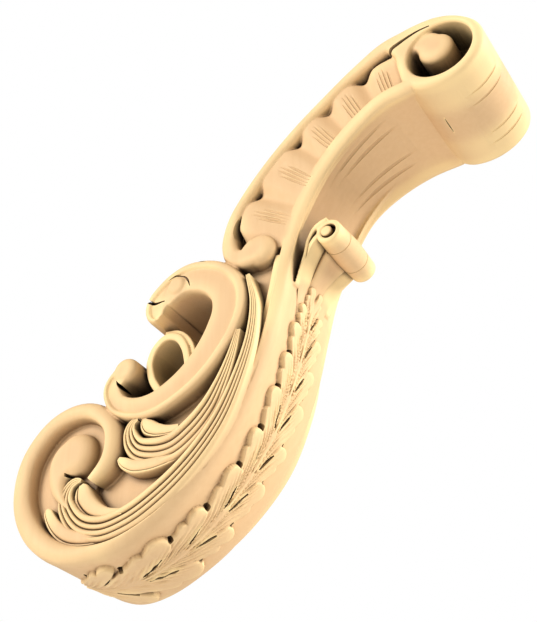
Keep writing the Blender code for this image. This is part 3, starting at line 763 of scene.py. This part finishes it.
def tapered_tree():
    """Node tree that sweeps a round gouge along curves, as wide as their radius says."""
    tree = bpy.data.node_groups.new("tapered_cuts", "GeometryNodeTree")
    tree.interface.new_socket("Lines", in_out="INPUT", socket_type="NodeSocketGeometry")
    tree.interface.new_socket("Half Width", in_out="INPUT", socket_type="NodeSocketFloat")
    tree.interface.new_socket("Sides", in_out="INPUT", socket_type="NodeSocketInt")
    tree.interface.new_socket("Wood", in_out="INPUT", socket_type="NodeSocketMaterial")
    tree.interface.new_socket("Cuts", in_out="OUTPUT", socket_type="NodeSocketGeometry")
    given = tree.nodes.new("NodeGroupInput")
    gouge = add(tree, "GeometryNodeCurvePrimitiveCircle", Resolution=given.outputs["Sides"],
                Radius=given.outputs["Half Width"])
    taper_by = add(tree, "GeometryNodeInputRadius")
    sweep = add(tree, "GeometryNodeCurveToMesh", Curve=given.outputs["Lines"],
                Profile_Curve=gouge.outputs["Curve"], Scale=taper_by.outputs["Radius"], Fill_Caps=True)
    real = add(tree, "GeometryNodeRealizeInstances", Geometry=sweep.outputs["Mesh"])
    coat = add(tree, "GeometryNodeSetMaterial", Geometry=real.outputs["Geometry"],
               Material=given.outputs["Wood"])
    add(tree, "NodeGroupOutput", Cuts=coat.outputs["Geometry"])
    return tree


def add(tree, kind, settings=(), **inputs):
    """Adds a node: settings are its own fields; inputs are values, or outputs to link."""
    made = tree.nodes.new(kind)
    for name, value in dict(settings).items():
        setattr(made, name, value)
    for name, value in inputs.items():
        socket = made.inputs[name.replace("_", " ")]
        if isinstance(value, bpy.types.NodeSocket):
            tree.links.new(value, socket)
        else:
            socket.default_value = value
    return made


def curve_object(lines):
    """Curve object of several open lines; each point is x, y, z in mm and a share of the width."""
    data = bpy.data.curves.new("gouge_lines", "CURVE")
    data.dimensions = "3D"
    for line in lines:
        spline = data.splines.new("POLY")
        spline.points.add(len(line) - 1)
        for point, (x, y, z, width) in zip(spline.points, line):
            point.co = (x * MM, y * MM, z * MM, 1.0)
            point.radius = width
    made = bpy.data.objects.new("gouge_lines", data)
    group("work").objects.link(made)
    return made


def gouged(lines, half_width, tree, where):
    """Cutter made by the node tree from lines, turned to a plain mesh."""
    guide = curve_object(lines)
    carrier = bpy.data.objects.new("gouge", bpy.data.meshes.new("gouge"))
    group(where).objects.link(carrier)
    step = guide.modifiers.new("Gouge", "NODES")
    step.node_group = tree
    names = {item.name: item.identifier for item in tree.interface.items_tree if item.in_out == "INPUT"}
    step[names["Half Width"]] = half_width * MM
    step[names["Sides"]] = 10
    step[names["Wood"]] = bpy.data.materials["sanded_limewood"]
    bpy.context.view_layer.update()
    depsgraph = bpy.context.evaluated_depsgraph_get()
    carrier.data = bpy.data.meshes.new_from_object(guide.evaluated_get(depsgraph))
    bpy.data.objects.remove(guide)
    return carrier


def taper(count, sharp=0.75):
    """Widths along a groove that come to a point at both ends."""
    return [max(math.sin(math.pi * (k + .15) / (count - .7)), 0.02) ** sharp for k in range(count)]


def front_flutes():
    """Lines of the grooves down the concave front."""
    front = front_face()
    edge, _, runs, _ = front
    above = runs < -20
    lines = []
    for start, end, y_start, y_end in FLUTES:
        count = 30
        xs = np.linspace(start, end, count)
        places = np.interp(xs, edge[above, 0][::-1], runs[above][::-1])
        points = on_front(front, places, np.linspace(y_start, y_end, count), FLUTE_LIFT)
        for side in (-1, 1):
            lines.append([(x, side * y, z, w) for (x, y, z), w in zip(points, taper(count))])
    return lines


def roll_grooves():
    """Lines of the shallow grooves round the top roll."""
    ring = smooth(ROLL + ROLL[:1], 361)[:-1]
    turn = np.degrees(np.arctan2(ring[:, 1] - HOLLOW[1], ring[:, 0] - HOLLOW[0]))
    order = np.argsort(turn)
    lines = []
    for y, first, last in ROLL_GROOVES:
        turns = np.linspace(first, last, 30)
        xs, zs = (np.interp(turns, turn[order], ring[order, k]) for k in (0, 1))
        out = np.column_stack([xs - HOLLOW[0], zs - HOLLOW[1]])
        out /= np.linalg.norm(out, axis=1)[:, None]
        lines.append([(x + nx * .45, y, z + nz * .45, w)
                      for x, z, (nx, nz), w in zip(xs, zs, out, taper(30))])
    x, z, *ends = ROLL_CUT
    lines.append([(x, y, z, w * .45) for y, w in zip(np.linspace(*ends, 14), taper(14))])
    return lines


def panel_grooves():
    """Lines of the groups of short grooves across the panel's folds."""
    lines = []
    rows = panel_lines(241)
    for share in GROOVE_PLACES:
        for k in range(GROOVES_IN_GROUP):
            place = int(round(240 * share + (k - 1.5) * 3.9))
            shares = np.linspace(.84 if k in (1, 2) else .72, .14, 12)
            points = [panel_point(rows[place], share) for share in shares]
            for side in (-1, 1):
                lines.append([(x, side * (HALF - d + .3), z, w)
                              for (x, z, d), w in zip(points, taper(12, .5))])
    return lines


def ring_lines():
    """Lines round the small roll where its three parts meet."""
    x, z = SMALL_ROLL
    lines = []
    for y in (-.45 * SMALL_ROLL_HALF, .45 * SMALL_ROLL_HALF):
        turns = np.linspace(-200, 130, 60)
        lines.append([(x + 10.6 * math.cos(math.radians(t)), y, z + 10.6 * math.sin(math.radians(t)), 1.0)
                      for t in turns])
    return lines


def cut_small_roll():
    """Hollow crescent in each end of the small roll, with its boss."""
    x, z = SMALL_ROLL
    radius = 5.9
    rows = [(radius, SMALL_ROLL_HALF - 6), (radius, SMALL_ROLL_HALF - .8), (radius + .8, SMALL_ROLL_HALF),
            (radius + .8, SMALL_ROLL_HALF + 4)]
    both_sides([[(a, -y, b) for a, b in circle(x + .5, z - .3, r, 36)] for r, y in rows], "apart")
    rows = [(4.4, SMALL_ROLL_HALF - 8), (4.4, SMALL_ROLL_HALF - 1.2), (3.9, SMALL_ROLL_HALF - .5),
            (2.6, SMALL_ROLL_HALF - .1)]
    both_sides([[(a, -y, b) for a, b in circle(x - 1.6, z + .7, r, 32)] for r, y in rows], "bosses")


def cut_grooves():
    """Every gouged groove and slit, as cutters grouped so that no two in a group touch."""
    tree = tapered_tree()
    gouge = sizes().groove / MM
    kinds = (front_flutes, roll_grooves, panel_grooves, ring_lines)
    for kind, share in zip(kinds, GROOVE_SHARES):
        gouged(kind(), gouge * share, tree, "apart")
    for points, depth, deep in SLITS:
        slit(points, depth, deep, "apart")
    cut_front_leaf()
    cut_small_roll()


def flats():
    """Cutters for the flat against the wall and the flat on top."""
    big = DRAWN_HEIGHT * 2
    block((-big, -big, -big), (0.0, big, big), "flats")
    block((HOLLOW[0] - 56, -big, DRAWN_HEIGHT), (big, big, big), "flats")


def soft_body():
    """The soft forms melted into one sanded body."""
    body = joined(list(group("soft").objects))
    melt = body.modifiers.new("Melt", "REMESH")
    melt.mode = "VOXEL"
    melt.voxel_size = sizes().grain * 1.0
    sand = body.modifiers.new("Sand", "SMOOTH")
    sand.factor = 0.5
    sand.iterations = sizes().softening
    plain(body)
    return body


def decimated(body, most):
    """The body thinned to at most a number of triangles."""
    body.data.calc_loop_triangles()
    count = len(body.data.loop_triangles)
    if count > most:
        thin = body.modifiers.new("Thin", "DECIMATE")
        thin.ratio = most / count
        plain(body)
    return body


def join_wood():
    """Joins every form, makes the cuts and hands the finished piece over."""
    body = decimated(soft_body(), 420000)
    flats()
    boolean(body, [joined(list(group("flats").objects))], "DIFFERENCE")
    crisp = list(group("crisp").objects)
    boolean(crisp[0], crisp[1:], "UNION")
    boolean(body, [crisp[0]], "UNION")
    for name in ("apart", "slits", "pits"):
        boolean(body, [joined(list(group(name).objects))], "DIFFERENCE")
    boolean(body, [joined(list(group("bosses").objects))], "UNION")
    decimated(body, sizes().triangles)
    body.name = "carved_bracket"
    body.data.name = "carved_bracket"
    body.data.materials.clear()
    body.data.materials.append(bpy.data.materials["sanded_limewood"])
    body.data.shade_smooth()
    body.data.set_sharp_from_angle(angle=math.radians(48))
    collection = bpy.context.scene.collection
    for owner in list(body.users_collection):
        owner.objects.unlink(body)
    collection.objects.link(body)
    for left in list(bpy.data.collections):
        bpy.data.collections.remove(left)
    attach(body, "root")
    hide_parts(NODE)


# Painted highlight and shade on the wood, each layer over the last: how far it looks about, in metres, whether
# into the wood, what it sees at both ends, the layer's share there, and its colour among the finish's
# first a painted highlight on ridges, then painted shade in fine lines, then dark painted shade in deep
# recesses
PAINTED_LIGHT_LAYERS = ((0.012, True, 0.95, 0.35, 0.0, 1.0, "edges"),
        (0.005, False, 0.3, 0.9, 0.85, 0.0, "painted_line_shade"),
        (0.04, False, 0.08, 0.7, 1.0, 0.0, "painted_recess_shade"))


def sanded_limewood():
    """Pale limewood, carved, sanded and left matt: it gives the eye soft even light,
    a faint vertical grain, a painted highlight on its ridges and painted shade in its fine lines and deepest
    cuts."""
    finish = bpy.context.scene.corbel_finish
    material = bpy.data.materials.new("sanded_limewood")
    material.use_nodes = True
    tree = material.node_tree
    shader = tree.nodes["Principled BSDF"]
    place = add(tree, "ShaderNodeTexCoord")
    band = 1.0 / finish.spacing
    across_grain = add(tree, "ShaderNodeMapping", Vector=place.outputs["Object"],
                       Scale=(band, band, band * 0.035))
    grain = add(tree, "ShaderNodeTexNoise", Vector=across_grain.outputs["Vector"], Scale=1.0, Detail=4.0,
                Roughness=0.55, Distortion=0.4)
    tint = add(tree, "ShaderNodeMix", {"data_type": "RGBA"}, Factor=grain.outputs["Fac"])
    tint.inputs[6].default_value = (*finish.wood, 1.0)
    tint.inputs[7].default_value = (*finish.late, 1.0)
    colour = tint.outputs[2]
    # Painted highlight on ridges, then painted shade in fine lines and deep recesses, all read from ambient
    # occlusion
    for reach, inside, first, last, least, most, shade in PAINTED_LIGHT_LAYERS:
        shut = add(tree, "ShaderNodeAmbientOcclusion", {"samples": 12, "inside": inside}, Distance=reach)
        share = add(tree, "ShaderNodeMapRange", Value=shut.outputs["AO"], From_Min=first, From_Max=last,
                    To_Min=least, To_Max=most)
        layer = add(tree, "ShaderNodeMix", {"data_type": "RGBA"}, Factor=share.outputs["Result"])
        tree.links.new(colour, layer.inputs[6])
        layer.inputs[7].default_value = (*getattr(finish, shade), 1.0)
        colour = layer.outputs[2]
    tree.links.new(colour, shader.inputs["Base Color"])
    pores = add(tree, "ShaderNodeMapping", Vector=place.outputs["Object"], Scale=(2200.0, 2200.0, 260.0))
    speck = add(tree, "ShaderNodeTexNoise", Vector=pores.outputs["Vector"], Scale=1.0, Detail=2.0)
    rough = add(tree, "ShaderNodeMapRange", Value=grain.outputs["Fac"], To_Min=0.56, To_Max=0.68)
    tree.links.new(rough.outputs["Result"], shader.inputs["Roughness"])
    bump = add(tree, "ShaderNodeBump", Strength=0.12, Distance=0.0002, Height=speck.outputs["Fac"])
    tree.links.new(bump.outputs["Normal"], shader.inputs["Normal"])
    shader.inputs["Specular IOR Level"].default_value = 0.25
    shader.inputs["Metallic"].default_value = 0.0
    return material


# Stage: the camera's place and turning, metres, and the lights round it
CAMERA_AT = (0.5255, -0.5475, -0.3652)
CAMERA_TURN = ((0.84855, 0.31346, 0.42626), (0.5291, -0.5027, -0.6836), (0.0, 0.8056, -0.59242))
LENS = 1100 / 622 * 36
FLOOR_AT = -2.0
# Soft lights: name, where each shines from, strength, and spread in degrees
LIGHTS = (("key", (-0.5, -0.85, 0.35), 2.9, 30),
          ("side", (0.9, 0.25, 0.4), 4.2, 30),
          ("low", (0.5, -0.5, -0.7), 1.0, 50))


def light(name, direction, strength, spread):
    """Soft sun that shines from a direction."""
    data = bpy.data.lights.new(name, "SUN")
    data.energy = strength
    data.angle = math.radians(spread)
    made = bpy.data.objects.new(name, data)
    made.rotation_euler = Vector(direction).to_track_quat("Z", "Y").to_euler()
    bpy.context.scene.collection.objects.link(made)


def studio_world():
    """White surroundings that light the wood softly."""
    world = bpy.data.worlds.new("studio")
    bpy.context.scene.world = world
    world.use_nodes = True
    tree = world.node_tree
    seen = add(tree, "ShaderNodeLightPath")
    glow = add(tree, "ShaderNodeMapRange", Value=seen.outputs["Is Camera Ray"], To_Min=0.32, To_Max=1.0)
    sky = tree.nodes["Background"]
    sky.inputs["Color"].default_value = (1.0, 1.0, 1.0, 1.0)
    tree.links.new(glow.outputs["Result"], sky.inputs["Strength"])


def floor():
    """Plain pale floor well below the bracket, which hangs on a wall."""
    size = 6.0
    corners = [(x, y, FLOOR_AT) for x, y in ((-size, -size), (size, -size), (size, size), (-size, size))]
    data = bpy.data.meshes.new("floor")
    data.from_pydata(corners, [], [(0, 1, 2, 3)])
    made = bpy.data.objects.new("floor", data)
    bpy.context.scene.collection.objects.link(made)
    material = bpy.data.materials.new("pale_matt_floor")
    material.use_nodes = True
    pale = bpy.context.scene.corbel_finish.paleness
    shader = material.node_tree.nodes["Principled BSDF"]
    shader.inputs["Base Color"].default_value = (pale, pale, pale, 1.0)
    shader.inputs["Roughness"].default_value = 0.9
    data.materials.append(material)


def camera():
    """Camera at the photograph's viewing angle."""
    data = bpy.data.cameras.new("camera")
    data.lens = LENS
    data.sensor_width = 36.0
    made = bpy.data.objects.new("camera", data)
    made.location = CAMERA_AT
    made.rotation_euler = Matrix(CAMERA_TURN).to_euler()
    bpy.context.scene.collection.objects.link(made)
    bpy.context.scene.camera = made


def set_stage():
    """Floor, lights, surroundings and camera."""
    camera()
    floor()
    studio_world()
    for lamp in LIGHTS:
        light(*lamp)
    bpy.context.scene.view_settings.view_transform = "Standard"


class CORBEL_OT_wood(bpy.types.Operator):
    """Make the wood's finish"""

    bl_idname = "corbel.wood"
    bl_label = "Wood Finish"

    def execute(self, context):
        sanded_limewood()
        return {"FINISHED"}


class CORBEL_OT_ribbon(bpy.types.Operator):
    """Carve the ribbon and the ground"""

    bl_idname = "corbel.ribbon"
    bl_label = "Carve Ribbon"

    def execute(self, context):
        carve_ribbon()
        return {"FINISHED"}


class CORBEL_OT_scrolls(bpy.types.Operator):
    """Carve the volute, the open scroll and the back rim"""

    bl_idname = "corbel.scrolls"
    bl_label = "Carve Scrolls"

    def execute(self, context):
        carve_volute()
        carve_scroll()
        carve_back_rim()
        return {"FINISHED"}


class CORBEL_OT_panel(bpy.types.Operator):
    """Carve the gathered panel"""

    bl_idname = "corbel.panel"
    bl_label = "Carve Panel"

    def execute(self, context):
        carve_panel()
        return {"FINISHED"}


class CORBEL_OT_rolls(bpy.types.Operator):
    """Carve the top roll and the small roll with its stem"""

    bl_idname = "corbel.rolls"
    bl_label = "Carve Rolls"

    def execute(self, context):
        carve_top_roll()
        carve_small_roll()
        return {"FINISHED"}


class CORBEL_OT_leaves(bpy.types.Operator):
    """Carve the side leaves and the leaf up the front"""

    bl_idname = "corbel.leaves"
    bl_label = "Carve Leaves"

    def execute(self, context):
        carve_side_leaves()
        carve_front_leaf()
        return {"FINISHED"}


class CORBEL_OT_grooves(bpy.types.Operator):
    """Make the gouged grooves and slits"""

    bl_idname = "corbel.grooves"
    bl_label = "Cut Grooves"

    def execute(self, context):
        cut_grooves()
        return {"FINISHED"}


class CORBEL_OT_join(bpy.types.Operator):
    """Join every form into the finished bracket"""

    bl_idname = "corbel.join"
    bl_label = "Join and Finish"

    def execute(self, context):
        join_wood()
        return {"FINISHED"}


class CORBEL_OT_stage(bpy.types.Operator):
    """Set the floor, the lights and the camera"""

    bl_idname = "corbel.stage"
    bl_label = "Set Stage"

    def execute(self, context):
        set_stage()
        return {"FINISHED"}


OPERATORS = (CORBEL_OT_stage, CORBEL_OT_wood, CORBEL_OT_ribbon, CORBEL_OT_scrolls, CORBEL_OT_panel,
             CORBEL_OT_rolls, CORBEL_OT_leaves, CORBEL_OT_grooves, CORBEL_OT_join)


class CORBEL_PT_panel(bpy.types.Panel):
    """Sidebar panel of the bracket"""

    bl_idname = "CORBEL_PT_panel"
    bl_label = "Corbel Bracket"
    bl_space_type = "VIEW_3D"
    bl_region_type = "UI"
    bl_category = "Corbel"

    def draw(self, context):
        for settings in (context.scene.corbel_sizes, context.scene.corbel_finish):
            for name in settings.bl_rna.properties.keys():
                if name not in ("rna_type", "name"):
                    self.layout.prop(settings, name)
        for operator in OPERATORS:
            self.layout.operator(operator.bl_idname)


CLASSES = (CorbelSizes, CorbelFinish, *OPERATORS, CORBEL_PT_panel)


def register():
    """Registers the classes and the scene's settings."""
    for kind in CLASSES:
        bpy.utils.register_class(kind)
    bpy.types.Scene.corbel_sizes = PointerProperty(type=CorbelSizes)
    bpy.types.Scene.corbel_finish = PointerProperty(type=CorbelFinish)


def unregister():
    """Takes them away again."""
    del bpy.types.Scene.corbel_finish
    del bpy.types.Scene.corbel_sizes
    for kind in reversed(CLASSES):
        bpy.utils.unregister_class(kind)


def main():
    register()
    bpy.ops.corbel.stage()
    bpy.ops.corbel.wood()
    bpy.ops.corbel.ribbon()
    bpy.ops.corbel.scrolls()
    bpy.ops.corbel.panel()
    bpy.ops.corbel.rolls()
    bpy.ops.corbel.leaves()
    bpy.ops.corbel.grooves()
    bpy.ops.corbel.join()


if __name__ == "__main__":
    main()
